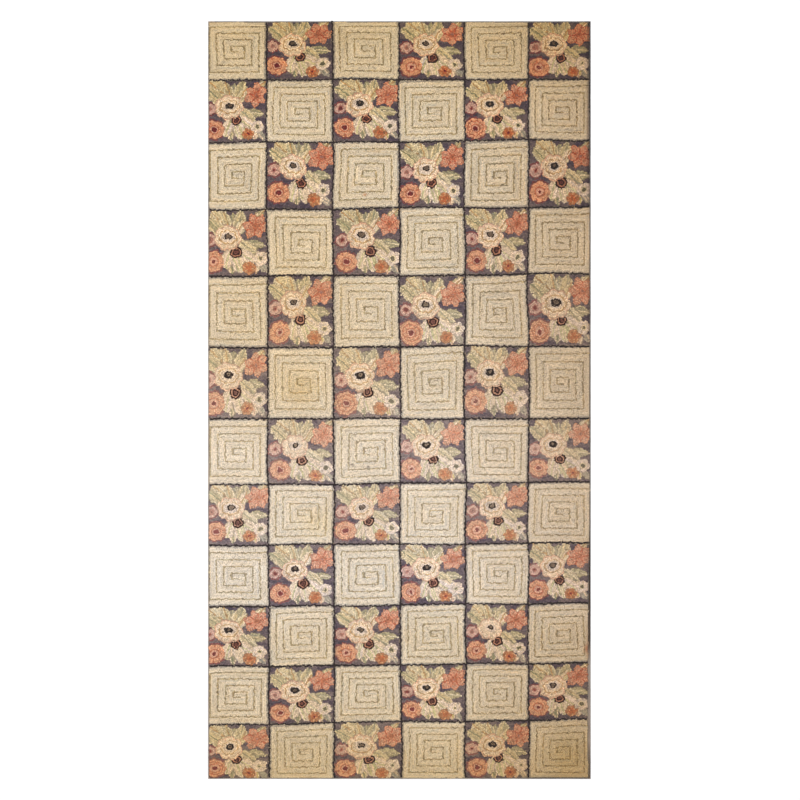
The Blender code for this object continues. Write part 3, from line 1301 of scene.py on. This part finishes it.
@dataclass
class FlowerBlock:
    """A slate block with the bouquet: flowers in rings, leaves along their ribs, the ground in straight rows.

    The ground's lightness is summed from shares by patch of strips, by strip and by loop.
    """

    row: int
    column: int
    looseness: float = 0.010
    spare: int = 3
    row_slip: float = 0.1
    patch_rows: int = 4
    patch_light: float = 0.55
    strip_light: float = 0.2
    loop_light: float = 0.25
    outline_width: float = 1.45 * ROW
    fading: float = 1.0
    mixed_strips: float = 0.07

    @property
    def name(self) -> str:
        """The piece's name."""
        return f"flower_block_r{self.row + 1:02d}_c{self.column + 1}"

    def ground(self, rng: np.random.Generator) -> Loops:
        """Straight rows over the whole block, staggered by half a loop.

        Args:
            rng: Source of the strips' lightness and the rows' slip.

        Returns:
            The ground's loops.
        """
        rows = np.arange(-self.spare, round(1 / ROW) + self.spare)
        stations = np.arange(-self.spare, round(1 / STITCH) + self.spare)
        v, u = np.meshgrid((rows + 0.5) * ROW, (stations + 0.5) * STITCH, indexing="ij")
        slip = rng.normal(0, self.row_slip, (len(rows), 1))
        u = u + (rows % 2)[:, None] * STITCH / 2 + slip * STITCH
        place = np.stack([u.ravel(), v.ravel()], axis=1)
        strips = rng.random((-(-len(rows) // self.patch_rows), -(-len(stations) // STRIP)))
        patches = np.repeat(np.repeat(strips, self.patch_rows, axis=0), STRIP, axis=1)
        own = np.repeat(rng.random((len(rows), strips.shape[1])), STRIP, axis=1)
        broad = (patches[: len(rows)] * self.patch_light + own * self.strip_light)[:, : len(stations)]
        light = broad + rng.random(u.shape) * self.loop_light
        tone = Yarn.SLATE.tone() + (Yarn.SLATE_LIGHT.tone() - Yarn.SLATE.tone()) * light.ravel()[:, None]
        return loops_of(place, np.array([1.0, 0.0]), tone)

    def loops(self, rng: np.random.Generator) -> Loops:
        """The ground and the motifs, each cut back where a higher one lies on it.

        Args:
            rng: Source of the block's differences.

        Returns:
            The block's loops.
        """
        shift = rng.normal(0, self.looseness, 2)
        motifs = [varied(motif, shift, rng) for motif in BOUQUET.values()]
        layers = [self.ground(rng)] + [motif.loops(rng) for motif in motifs]
        for motif in motifs:
            if isinstance(motif, Flower) and motif.outline is not None:
                depth = motif.depth(layers[0].place)
                layers[0].tone[(depth > -self.outline_width) & (depth < 0)] = motif.outline.tone()
        parts = []
        for number, layer in enumerate(layers):
            for upper in motifs[number:]:
                layer = layer.kept(upper.depth(layer.place) < -SEAM)
            parts.append(layer)
        bouquet = Loops.joined(parts)
        bouquet.tone *= 1 + rng.normal(0, self.mixed_strips, (len(bouquet.tone), 1))
        return bouquet


@dataclass
class HookedPile:
    """The pile's face: a piece for each block, and one for the dark lines between them."""

    plan: Plan
    edge: Edge
    wear: Wear = Wear()
    line_gap: float = 0.75 * ROW
    line_step: float = 5.4 * MM
    line_lift: float = 0.4 * MM
    line_size_spread: float = 0.08
    edge_gap: float = 3.0 * MM
    feet_height: float = 3.9 * MM
    feet_points: int = 25
    feet_inset: float = 1.5 * MM
    # painted shade of the sheet under the loops
    feet_painted_shade: float = 0.74
    tone_cell: float = 12 * MM
    heading_step: float = 0.25 * ROW

    @property
    def size(self) -> tuple[float, float]:
        """Width and length."""
        return self.plan.width, self.plan.length

    def pulled(self, block: SpiralBlock | FlowerBlock, rng: np.random.Generator) -> PulledLoops:
        """A block's loops in their places on the rug, cut off at the dark lines and the rug's edge.

        Args:
            block: The block.
            rng: Source of the block's differences.

        Returns:
            The loops, with worn tones.
        """
        loops = block.loops(rng)
        loops = loops.kept(self.plan.inner_part(block.row, block.column, loops.place, self.line_gap))
        plan = self.plan.placed(block.row, block.column, loops.place)
        ahead_place = loops.place + loops.heading * self.heading_step
        ahead = self.plan.placed(block.row, block.column, ahead_place) - plan
        ahead /= np.hypot(ahead[:, 0], ahead[:, 1])[:, None]
        tone = self.wear.worn(loops.tone, plan, self.size, block.fading)
        inside = self.edge.margin(plan) > self.edge_gap
        return PulledLoops(plan, ahead, tone, loops.lift, loops.size).kept(inside)

    def feet(
        self, block: SpiralBlock | FlowerBlock, tones: ToneMap
    ) -> tuple[np.ndarray, np.ndarray, np.ndarray]:
        """The crowded feet of a block's loops, as a sheet just under them in the same colours, darkened as
        painted shade.

        Args:
            block: The block.
            tones: Tones of the loops.

        Returns:
            Points, quads and linear colours.
        """
        share = np.linspace(0, 1, self.feet_points)
        v, u = np.meshgrid(share[::-1], share, indexing="ij")
        plan = self.plan.placed(block.row, block.column, np.stack([u.ravel(), v.ravel()], axis=1))
        plan = self.edge.pulled_in(plan, self.feet_inset)
        points = np.column_stack([plan, np.full(len(plan), self.feet_height)])
        # the loops' tones darkened as painted shade
        colour = linear(tones.at(plan) * self.feet_painted_shade)
        return points, grid_faces(self.feet_points, self.feet_points), colour

    def dark_lines(self, rng: np.random.Generator) -> PulledLoops:
        """One row of near-black loops along every line between blocks.

        Args:
            rng: Source of the loops' sizes.

        Returns:
            The loops, with worn tones.
        """
        xs = np.arange(-self.plan.width / 2, self.plan.width / 2, self.line_step)
        ys = np.arange(-self.plan.length / 2, self.plan.length / 2, self.line_step)
        plans, aheads = [], []
        for line in range(1, self.plan.rows):
            plans.append(np.column_stack([xs, self.plan.down(line, xs)]))
            aheads.append(np.tile([1.0, 0.0], (len(xs), 1)))
        for line in range(1, self.plan.columns):
            plans.append(np.column_stack([self.plan.across(line, ys), ys]))
            aheads.append(np.tile([0.0, 1.0], (len(ys), 1)))
        plan = self.plan.wandered(np.concatenate(plans))
        tone = np.tile(Yarn.BLACK_BROWN.tone(), (len(plan), 1))
        tone = self.wear.worn(tone, plan, self.size, 0.0)
        size = rng.normal(1.0, self.line_size_spread, len(plan))
        lines = PulledLoops(plan, np.concatenate(aheads), tone, np.full(len(plan), self.line_lift), size)
        return lines.kept(self.edge.margin(plan) > self.edge_gap)

    def build(self) -> tuple[list[bpy.types.Object], ToneMap]:
        """Builds a piece for each block, and one for the dark lines.

        Returns:
            The pieces, and the map of their tones.
        """
        blocks = [
            SpiralBlock(row, column) if (row + column) % 2 == 0 else FlowerBlock(row, column)
            for row in range(self.plan.rows)
            for column in range(self.plan.columns)
        ]
        seeds = np.random.SeedSequence(SEED).spawn(len(blocks) + 1)
        generators = [np.random.default_rng(seed) for seed in seeds]
        pulled = [self.pulled(block, rng) for block, rng in zip(blocks, generators)]
        tones = ToneMap(pulled, self.tone_cell, self.size)
        pieces = []
        for block, loops, rng in zip(blocks, pulled, generators):
            points, faces, colour = pile_piece(loops, WOOL_LOOP, rng)
            feet_points, feet_quads, feet_colour = self.feet(block, tones)
            feet_faces = halved(feet_quads) + len(points)
            pieces.append(
                new_piece(
                    block.name,
                    np.concatenate([points, feet_points]),
                    np.concatenate([faces, feet_faces]),
                    np.concatenate([colour, feet_colour]),
                )
            )
        lines = self.dark_lines(generators[-1])
        pieces.append(new_piece("dark_lines", *pile_piece(lines, LINE_LOOP, generators[-1])))
        return pieces, tones


@dataclass
class EdgeRoll:
    """Loops that lie over the outer edge of the hooking, with the wall of feet behind them, both darker than
    the pile's tone as painted shade.
    """

    edge: Edge
    tones: ToneMap
    step: float = 5.6 * MM
    levels: tuple[float, ...] = (3.0 * MM, 5.4 * MM)
    wall: tuple[float, float] = (1.4 * MM, 6.6 * MM)
    inset: float = 2.4 * MM
    reach: float = 2.2 * MM
    tip_spread: float = 0.35 * MM
    loop_size: float = 0.85
    tone_inset: float = 8 * MM
    # painted shade: the edge loops are darker than the pile's tone, and the wall behind them darker still
    shade: float = 0.82
    shade_spread: float = 0.05
    wall_painted_shade: float = 0.6

    def outline(self) -> tuple[np.ndarray, np.ndarray]:
        """Places a step apart round the hooking, counter-clockwise, and the outward direction at each."""
        low, high = self.edge.low, self.edge.high
        xs = np.arange(low[0], high[0], self.step)
        ys = np.arange(low[1], high[1], self.step)
        walk = np.concatenate([
            np.column_stack([np.full(len(ys), high[0]), ys]),
            np.column_stack([xs[::-1], np.full(len(xs), high[1])]),
            np.column_stack([np.full(len(ys), low[0]), ys[::-1]]),
            np.column_stack([xs, np.full(len(xs), low[1])]),
        ])
        way = self.edge.from_core(walk)[1]
        return self.edge.pulled_in(walk, 0.0), way / np.hypot(*way.T)[:, None]

    def build(self) -> bpy.types.Object:
        """Builds the edge loops, one ring at each level, and the wall as one piece."""
        rng = np.random.default_rng(EDGE_SEED)
        plan, out = self.outline()
        count = len(plan)
        level_out = np.column_stack([out, np.zeros(count)])
        ahead = np.column_stack([-out[:, 1], out[:, 0], np.zeros(count)])
        down = np.tile([0.0, 0.0, -1.0], (count, 1))
        tone = self.tones.at(plan - out * self.tone_inset)
        points, faces, colours = [], [], []
        made = 0
        for number, level in enumerate(self.levels):
            foot = np.column_stack([plan - out * self.inset, np.full(count, level)])
            foot = foot + ahead * (number * self.step / 2)
            tip = foot + level_out * self.reach + rng.normal(0, self.tip_spread, (count, 3))
            ring, triangles = EDGE_LOOP.cushions(foot, ahead, down, tip, np.full(count, self.loop_size))
            points.append(ring)
            faces.append(triangles[:, ::-1] + made)
            # painted shade on the edge loops
            shade = self.shade * (1 + rng.normal(0, self.shade_spread, (count, 1)))
            colours.append(np.repeat(linear(tone * shade), len(ring) // count, axis=0))
            made += len(ring)
        points += [np.column_stack([plan - out * self.inset, np.full(count, height)]) for height in self.wall]
        first = np.arange(count)
        second = np.roll(first, -1)
        quads = np.stack([first, second, second + count, first + count], axis=1) + made
        faces.append(halved(quads))
        # painted shade on the wall of feet
        colours += [linear(tone * self.wall_painted_shade)] * 2
        return new_piece("edge_loops", np.concatenate(points), np.concatenate(faces), np.concatenate(colours))


@dataclass
class FoundationCloth:
    """The ground cloth that the loops are pulled through, whose back shows the pattern softly."""

    edge: Edge
    tones: ToneMap
    step: float = 12 * MM
    thick: float = 1.3 * MM
    over_tape: float = 1.5 * MM
    tape_width: float = 31 * MM
    inset: float = 2.0 * MM
    clear_of_floor: float = 0.05 * MM
    coarser: int = 4

    def build(self) -> bpy.types.Object:
        """Builds the cloth as a fine lower face and a coarse upper one, which the feet of the loops hide."""
        low, high = self.edge.low, self.edge.high
        columns = round((high[0] - low[0]) / self.step) + 1
        rows = round((high[1] - low[1]) / self.step) + 1
        x, y = np.meshgrid(np.linspace(low[0], high[0], columns), np.linspace(low[1], high[1], rows))
        plan = self.edge.pulled_in(np.column_stack([x.ravel(), y.ravel()]), self.inset)
        off_tape = smooth(self.tape_width, self.tape_width + self.step, self.edge.margin(plan))
        back = np.column_stack([plan, self.over_tape * (1 - off_tape) + self.clear_of_floor])
        quads = grid_faces(rows, columns)
        coarse_rows = np.unique(np.linspace(0, rows - 1, rows // self.coarser).round().astype(int))
        coarse_columns = np.unique(np.linspace(0, columns - 1, columns // self.coarser).round().astype(int))
        index = np.arange(rows * columns).reshape(rows, columns)
        keep = index[np.ix_(coarse_rows, coarse_columns)]
        face = back[keep.ravel()] + np.array([0, 0, self.thick])
        face_quads = grid_faces(len(coarse_rows), len(coarse_columns)) + len(back)
        points = np.concatenate([back, face])
        faces = np.concatenate([quads[:, ::-1], face_quads])
        return new_piece("foundation_cloth", points, faces, linear(self.tones.at(points[:, :2])))


@dataclass
class Tape:
    """One side's cotton binding tape: a flat strip sewn under the edge, with its outer edge in sight.

    It runs along axis 0 or 1, its outer edge is at the high or low end of the other axis, and its colour is
    given at shares of its length.
    """

    node: str
    runs_along: int
    outer_sign: int
    seen_colour: tuple[tuple[float, str], ...]
    across_points: int = 9
    step: float = 9 * MM
    waver: float = 0.5 * MM
    waver_points: int = 90
    below_top: float = 0.1 * MM
    flutter: float = 0.08 * MM
    flutter_waves: tuple[float, float] = (61, 200)
    # painted shade along the tape's outer edge: its width, the share of it that is fully dark, and how dark it
    # is
    painted_shade_width: float = 1.6 * MM
    painted_shade_full_to: float = 0.4
    edge_painted_shade: float = 0.62
    blotch: float = 0.10
    blotch_points: int = 60

    def faces(self, count: int, turned: bool) -> np.ndarray:
        """Quads of the strip's underside, its top and the rim between them.

        Args:
            count: Number of stations along the strip.
            turned: Whether the grid's faces need turning round to face up.

        Returns:
            (m, 4) faces, facing out.
        """
        quads = grid_faces(count, self.across_points)
        index = np.arange(count * self.across_points).reshape(count, -1)
        loop = np.concatenate([index[0, :-1], index[:-1, -1], index[-1, :0:-1], index[:0:-1, 0]])
        onward = np.roll(loop, -1)
        rim = np.stack([loop, onward, onward + index.size, loop + index.size], axis=1)
        if turned:
            quads, rim = quads[:, ::-1], rim[:, ::-1]
        return np.concatenate([quads[:, ::-1], quads + index.size, rim[:, ::-1]])

    def colour(self, run: np.ndarray, inward: np.ndarray, rng: np.random.Generator) -> np.ndarray:
        """The colour along the strip, with painted shade darkening its outer edge, and a little blotched.

        Args:
            run: (n,) shares of the length.
            inward: (n,) distances from the outer edge.
            rng: Source of the blotches.

        Returns:
            (n, 3) linear colours.
        """
        keys, colours = zip(*self.seen_colour)
        rows = np.array([srgb(colour) for colour in colours])
        tone = np.stack([np.interp(run, keys, rows[:, k]) for k in range(3)], axis=1)
        # painted shade at the outer edge
        painted_shade_share = 1 - smooth(self.painted_shade_full_to, 1.0, inward / self.painted_shade_width)
        tone = tone * (1 - (1 - self.edge_painted_shade) * painted_shade_share)[:, None]
        places = np.linspace(0, 1, self.blotch_points)
        blotch = np.interp(run, places, rng.normal(0, self.blotch, self.blotch_points))
        return linear(tone * (1 + blotch)[:, None])

    def build(self) -> bpy.types.Object:
        """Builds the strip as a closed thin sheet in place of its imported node, its outer edge wavering."""
        low, high = (np.array(corner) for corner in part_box(self.node))
        along, out = self.runs_along, 1 - self.runs_along
        count = round((high[along] - low[along]) / self.step) + 1
        share_along = np.linspace(0, 1, count)
        share_out = 1 - np.linspace(0, 1, self.across_points) ** 2
        run, off = (share.ravel() for share in np.meshgrid(share_along, share_out, indexing="ij"))
        rng = np.random.default_rng(SEED + len(self.node))
        places = np.linspace(0, 1, self.waver_points)
        waver = np.interp(share_along, places, rng.uniform(0, self.waver, self.waver_points))
        inward = (high[out] - low[out]) * (1 - off) + np.repeat(waver, self.across_points) * off
        outer = high[out] if self.outer_sign > 0 else low[out]
        plan = np.empty((run.size, 2))
        plan[:, along] = low[along] + (high[along] - low[along]) * run
        plan[:, out] = outer - self.outer_sign * inward
        along_wave, out_wave = self.flutter_waves
        flutter = self.flutter * np.sin(plan[:, along] * along_wave + plan[:, out] * out_wave)
        below = np.column_stack([plan, np.zeros(len(plan))])
        above = np.column_stack([plan, high[2] - self.below_top + flutter])
        faces = self.faces(count, (along == 1) == (self.outer_sign > 0))
        colour = np.tile(self.colour(run, inward, rng), (2, 1))
        return new_piece(self.node + "_tape", np.concatenate([below, above]), faces, colour)


# ---------------------------------------------------------------- finishes


NOISE_LOW, NOISE_HIGH = 0.3, 0.7  # between these lies nearly all of a noise texture


@dataclass(frozen=True)
class HookedWool:
    """Hand-dyed wool strips pulled up in loops: each strip a little mottled, dull, with a soft nap.

    A real fibre is too fine to show, so the nap is drawn about as coarse as a thread of the woven strip.
    """

    name: str = "hand_dyed_wool_strips"
    nap: float = 1.1 * MM
    nap_height: float = 0.45 * MM
    mottle: float = 3.2 * MM
    mottle_light: tuple[float, float] = (0.90, 1.10)
    fade: float = 380 * MM
    fade_light: tuple[float, float] = (0.965, 1.035)
    roughness: float = 0.95
    specular: float = 0.15
    sheen: float = 0.25
    sheen_roughness: float = 0.6

    def material(self) -> bpy.types.Material:
        """The yarn's own tone, mottled as dye takes unevenly, with a fine nap and a faint sheen."""
        made = bpy.data.materials.new(self.name)
        made.use_nodes = True
        tree = made.node_tree
        shader = tree.nodes["Principled BSDF"]
        where = add_node(tree, "ShaderNodeTexCoord").outputs["Object"]
        tone = add_node(tree, "ShaderNodeAttribute", {"attribute_name": COLOUR_LAYER}).outputs["Color"]
        lights = []
        for size, (low, high) in ((self.mottle, self.mottle_light), (self.fade, self.fade_light)):
            noise = add_node(tree, "ShaderNodeTexNoise", {"Scale": 1 / size, "Detail": 2.0}, Vector=where)
            span = {"From Min": NOISE_LOW, "From Max": NOISE_HIGH, "To Min": low, "To Max": high}
            light = add_node(tree, "ShaderNodeMapRange", span, Value=noise.outputs["Fac"])
            lights.append(light.outputs["Result"])
        both = add_node(tree, "ShaderNodeMath", {"operation": "MULTIPLY"}, in_0=lights[0], in_1=lights[1])
        dyed = add_node(tree, "ShaderNodeHueSaturation", Color=tone, Value=both.outputs["Value"])
        nap = add_node(tree, "ShaderNodeTexNoise", {"Scale": 1 / self.nap, "Detail": 3.0}, Vector=where)
        bump = add_node(
            tree, "ShaderNodeBump", {"Strength": 1.0, "Distance": self.nap_height}, Height=nap.outputs["Fac"]
        )
        tree.links.new(dyed.outputs["Color"], shader.inputs["Base Color"])
        tree.links.new(bump.outputs["Normal"], shader.inputs["Normal"])
        shader.inputs["Roughness"].default_value = self.roughness
        shader.inputs["Specular IOR Level"].default_value = self.specular
        shader.inputs["Sheen Weight"].default_value = self.sheen
        shader.inputs["Sheen Roughness"].default_value = self.sheen_roughness
        return made


@dataclass(frozen=True)
class WovenCotton:
    """Plain-woven cotton: a fine grid of threads, matt, in the colour at each point.

    A thread of the binding tape is drawn about twice as coarse as a real one, so that it shows from near by.
    """

    name: str
    thread: float
    thread_height: float
    # painted shade in the gaps between threads, a little lighter on their crowns
    thread_light: tuple[float, float] = (0.85, 1.08)
    bump_strength: float = 0.8
    roughness: float = 0.9
    specular: float = 0.2

    def material(self) -> bpy.types.Material:
        """Threads over and under one another, as two crossing sines, with painted shade darkening the gaps
        between them.
        """
        made = bpy.data.materials.new(self.name)
        made.use_nodes = True
        tree = made.node_tree
        shader = tree.nodes["Principled BSDF"]
        where = add_node(tree, "ShaderNodeTexCoord").outputs["Object"]
        tone = add_node(tree, "ShaderNodeAttribute", {"attribute_name": COLOUR_LAYER}).outputs["Color"]
        split = add_node(tree, "ShaderNodeSeparateXYZ", in_0=where)
        waves = []
        for axis in range(2):
            per_thread = {"operation": "MULTIPLY", 1: math.pi / self.thread}
            turn = add_node(tree, "ShaderNodeMath", per_thread, in_0=split.outputs[axis])
            wave = add_node(tree, "ShaderNodeMath", {"operation": "SINE"}, in_0=turn.outputs["Value"])
            waves.append(wave.outputs["Value"])
        weave = add_node(tree, "ShaderNodeMath", {"operation": "MULTIPLY"}, in_0=waves[0], in_1=waves[1])
        rise = add_node(tree, "ShaderNodeMath", {"operation": "ABSOLUTE"}, in_0=weave.outputs["Value"])
        # painted shade in the gaps between threads
        low, high = self.thread_light
        light = add_node(
            tree, "ShaderNodeMapRange", {"To Min": low, "To Max": high}, Value=rise.outputs["Value"]
        )
        shade = add_node(tree, "ShaderNodeHueSaturation", Color=tone, Value=light.outputs["Result"])
        height = {"Strength": self.bump_strength, "Distance": self.thread_height}
        bump = add_node(tree, "ShaderNodeBump", height, Height=rise.outputs["Value"])
        tree.links.new(shade.outputs["Color"], shader.inputs["Base Color"])
        tree.links.new(bump.outputs["Normal"], shader.inputs["Normal"])
        shader.inputs["Roughness"].default_value = self.roughness
        shader.inputs["Specular IOR Level"].default_value = self.specular
        return made


FOUNDATION_COTTON = WovenCotton("cotton_foundation_cloth", thread=1.4 * MM, thread_height=0.4 * MM)
TAPE_COTTON = WovenCotton("worn_cotton_tape", thread=0.8 * MM, thread_height=0.2 * MM)


@dataclass(frozen=True)
class Studio:
    """A plain pale floor, soft even light from above and a camera that looks straight down."""

    lens: float = 85.0
    sensor: float = 36.0
    seen_side: float = 3.824
    shift: tuple[float, float] = (2.9 * MM, 0.3 * MM)
    floor_drop: float = 0.6 * MM
    floor_side: float = 60.0
    floor_colour: str = "#edeced"
    floor_roughness: float = 0.9
    floor_specular: float = 0.1
    world: float = 0.60
    lamp_power: float = 965.0
    lamp_side: float = 4.0
    lamp_place: tuple[float, float, float] = (-1.4, 1.3, 11.0)

    def floor(self) -> bpy.types.Object:
        """The floor under the rug."""
        half = self.floor_side / 2
        plan = np.array([[-half, -half], [half, -half], [half, half], [-half, half]])
        points = np.column_stack([plan, np.full(len(plan), -self.floor_drop)])
        floor = new_piece("studio_floor", points, np.array([[0, 1, 2, 3]]), smooth_shaded=False)
        paint = bpy.data.materials.new("matt_white_paint")
        paint.use_nodes = True
        shader = paint.node_tree.nodes["Principled BSDF"]
        shader.inputs["Base Color"].default_value = linear_rgba(self.floor_colour)
        shader.inputs["Roughness"].default_value = self.floor_roughness
        shader.inputs["Specular IOR Level"].default_value = self.floor_specular
        floor.data.materials.append(paint)
        return floor

    def light(self) -> None:
        """White light from all round and one large lamp above, a little to the upper left."""
        scene = bpy.context.scene
        scene.view_settings.view_transform = "Standard"
        world = bpy.data.worlds.new("studio")
        world.use_nodes = True
        background = world.node_tree.nodes["Background"]
        background.inputs["Strength"].default_value = self.world
        background.inputs["Color"].default_value = (1, 1, 1, 1)
        scene.world = world
        lamp = bpy.data.lights.new("soft_lamp", "AREA")
        lamp.energy = self.lamp_power
        lamp.size = self.lamp_side
        holder = bpy.data.objects.new("soft_lamp", lamp)
        holder.location = self.lamp_place
        holder.rotation_euler = Vector(self.lamp_place).to_track_quat("Z", "Y").to_euler()
        scene.collection.objects.link(holder)

    def camera(self, top: float) -> None:
        """The camera, at the height where its view is seen_side metres wide at the pile's top.

        Args:
            top: Height of the pile's top.
        """
        data = bpy.data.cameras.new("camera")
        data.lens = self.lens
        data.sensor_width = self.sensor
        data.clip_end = 100.0
        holder = bpy.data.objects.new("camera", data)
        holder.location = (*self.shift, top + self.seen_side * self.lens / self.sensor)
        bpy.context.scene.collection.objects.link(holder)
        bpy.context.scene.camera = holder


WORN_TAPE = "#958473"
DARK_TAPE = "#55483c"
PALE_TAPE = "#9f8e7d"
GREY_TAPE = "#6f6357"

TAPES = (
    Tape(
        "binding_right", 1, 1,
        (
            (0.0, "#5f4f40"), (0.02, "#66574a"), (0.05, "#8e7d6f"), (0.155, "#85796f"), (0.18, "#4b3e35"),
            (0.28, "#463a32"), (0.60, "#5f5042"), (0.74, "#4f4136"), (0.84, "#3d322c"), (1.0, "#3b302a"),
        ),
    ),
    Tape("binding_left", 1, -1, ((0.0, PALE_TAPE), (1.0, PALE_TAPE))),
    Tape("binding_top", 0, 1, ((0.0, GREY_TAPE), (1.0, GREY_TAPE))),
    Tape("binding_bottom", 0, -1, ((0.0, WORN_TAPE), (0.8, WORN_TAPE), (0.86, DARK_TAPE), (1.0, DARK_TAPE))),
)


def main() -> None:
    """Builds the rug from the foundation up, dresses it, and sets the studio."""
    logging.basicConfig(level=logging.INFO, format="%(message)s")
    low, high = (np.array(corner) for corner in CAD_BOX)
    plan = Plan(width=high[0] - low[0], length=high[1] - low[1])
    edge = Edge("hooked_field")
    wool = HookedWool().material()
    pieces, tones = HookedPile(plan, edge).build()
    pieces.append(EdgeRoll(edge, tones).build())
    for piece in pieces:
        piece.data.materials.append(wool)
        lay_flat_map(piece)
        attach(piece, "root")
    cloth = FoundationCloth(edge, tones).build()
    cloth.data.materials.append(FOUNDATION_COTTON.material())
    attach(cloth, "root")
    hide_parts("hooked_field")
    cotton = TAPE_COTTON.material()
    for tape in TAPES:
        strip = tape.build()
        strip.data.materials.append(cotton)
        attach(strip, "root")
        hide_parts(tape.node)
        pieces.append(strip)
    studio = Studio()
    studio.floor()
    studio.light()
    studio.camera(float(high[2]))
    for piece in [*pieces, cloth]:
        log.info("%s: %d faces", piece.name, len(piece.data.polygons))
    log.info("all pieces: %d faces", sum(len(piece.data.polygons) for piece in [*pieces, cloth]))


if __name__ == "__main__":
    main()
